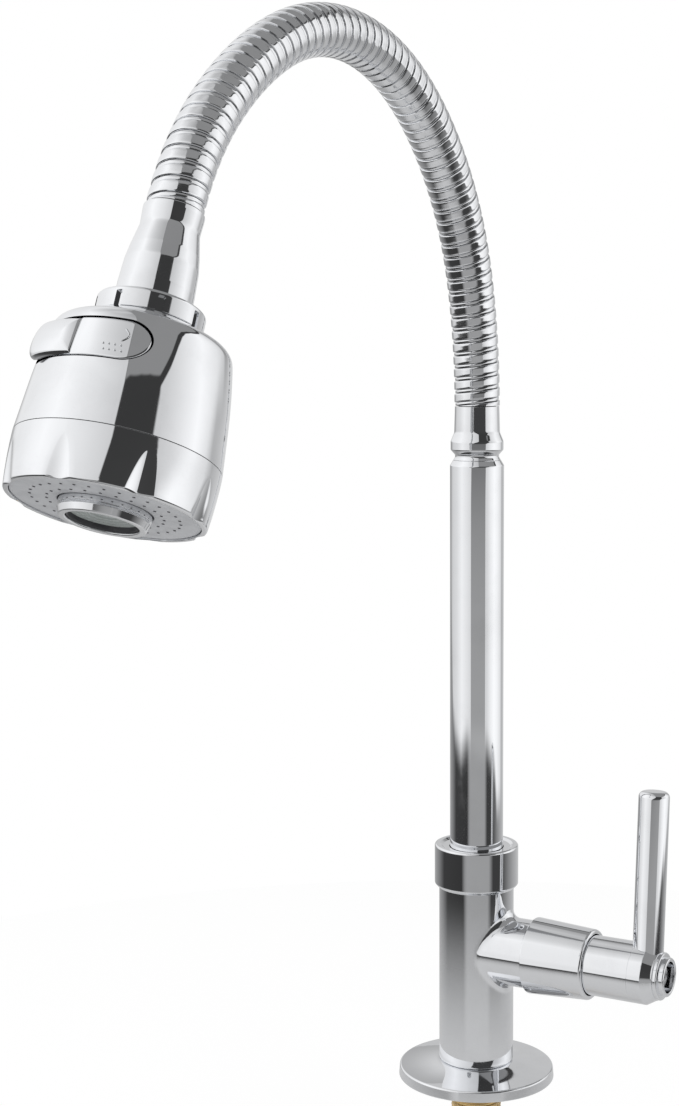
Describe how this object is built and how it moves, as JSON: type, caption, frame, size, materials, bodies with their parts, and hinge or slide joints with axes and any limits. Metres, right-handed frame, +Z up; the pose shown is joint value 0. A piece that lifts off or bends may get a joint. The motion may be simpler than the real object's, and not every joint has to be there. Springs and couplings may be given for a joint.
{
  "type": "spring spout kitchen tap",
  "caption": "Deck-mounted kitchen tap with a spiral-strip gooseneck, a spray head with a rocker, and a lever valve on a side branch.",
  "frame": {"origin": "on the riser's axis, at the underside of the flange where it meets the deck", "axes": "+Z up along the riser, the spout and head reach towards -Y, the valve branch with its lever stands out towards +X"},
  "size_m": [0.1178, 0.3121, 0.4846],
  "materials": {
    "plated_brass": "polished",
    "plated_plastic": "polished, plated to look like chrome",
    "stainless": "satin",
    "brass": "machined",
    "grey_plastic": "satin",
    "white_plastic": "matte",
    "black_plastic": "matte",
    "seal_rubber": "matte",
    "disc_ceramic": "polished"
  },
  "bodies": {
    "tap_body": {"escutcheon": "plated_brass", "escutcheon_gasket": "seal_rubber", "valve_body": "plated_brass", "inlet_shank": "brass", "deck_washer": "seal_rubber", "backnut": "brass", "seat_seal": "seal_rubber", "fixed_ceramic_disc": "disc_ceramic", "cartridge_housing": "brass", "branch_sleeve": "plated_brass", "collar_nut": "plated_brass", "riser_bush": "white_plastic"},
    "spout": {"riser_tube": "plated_brass", "riser_clip": "stainless", "riser_o_rings": "seal_rubber", "lower_ferrule": "plated_brass", "lower_hose_barb": "brass", "gooseneck_liner": "black_plastic", "gooseneck_strip": "plated_brass", "water_hose": "white_plastic"},
    "head": {"neck_sleeve": "plated_brass", "upper_hose_barb": "brass", "grip_ring": "plated_plastic", "head_gasket": "seal_rubber", "diverter_body": "black_plastic", "head_shell": "plated_plastic", "lower_bezel": "plated_plastic", "spray_face": "grey_plastic", "aerator_ring": "plated_brass", "aerator_insert": "white_plastic", "aerator_gasket": "seal_rubber", "rocker_pin": "stainless"},
    "rocker": {"rocker_button": "plated_plastic"},
    "spool": {"diverter_spool": "white_plastic", "spool_o_rings": "seal_rubber"},
    "handle": {"handle_hub": "plated_brass", "lever": "plated_brass", "handle_screw": "stainless", "spindle": "brass", "spindle_o_rings": "seal_rubber", "moving_ceramic_disc": "disc_ceramic"}
  },
  "joints": [
    {"name": "spout_swivel", "type": "hinge", "parent": "tap_body", "child": "spout", "pos_m": [0, 0, 0.09], "axis": [0, 0, 1], "continuous": true},
    {"name": "neck_flex", "type": "hinge", "parent": "spout", "child": "head", "pos_m": [0, -0.08941, 0.3752], "axis": [1, 0, 0], "range_deg": [-20, 20], "deforming": ["gooseneck_strip", "gooseneck_liner", "water_hose"]},
    {"name": "mode_rocker", "type": "hinge", "parent": "head", "child": "rocker", "pos_m": [-0.00222, -0.25522, 0.30854], "axis": [0, -0.3955, -0.9184], "range_deg": [0, 12]},
    {"name": "spool_slide", "type": "slide", "parent": "head", "child": "spool", "axis": [0.9954, -0.088, 0.0379], "range_m": [0, 0.00201]},
    {"name": "lever_turn", "type": "hinge", "parent": "tap_body", "child": "handle", "pos_m": [0, 0, 0.0555], "axis": [1, 0, 0], "range_deg": [0, 90]}
  ],
  "couplings": [
    {"joint": "mode_rocker", "follows": "spool_slide", "rad_per_m": 104.17}
  ]
}
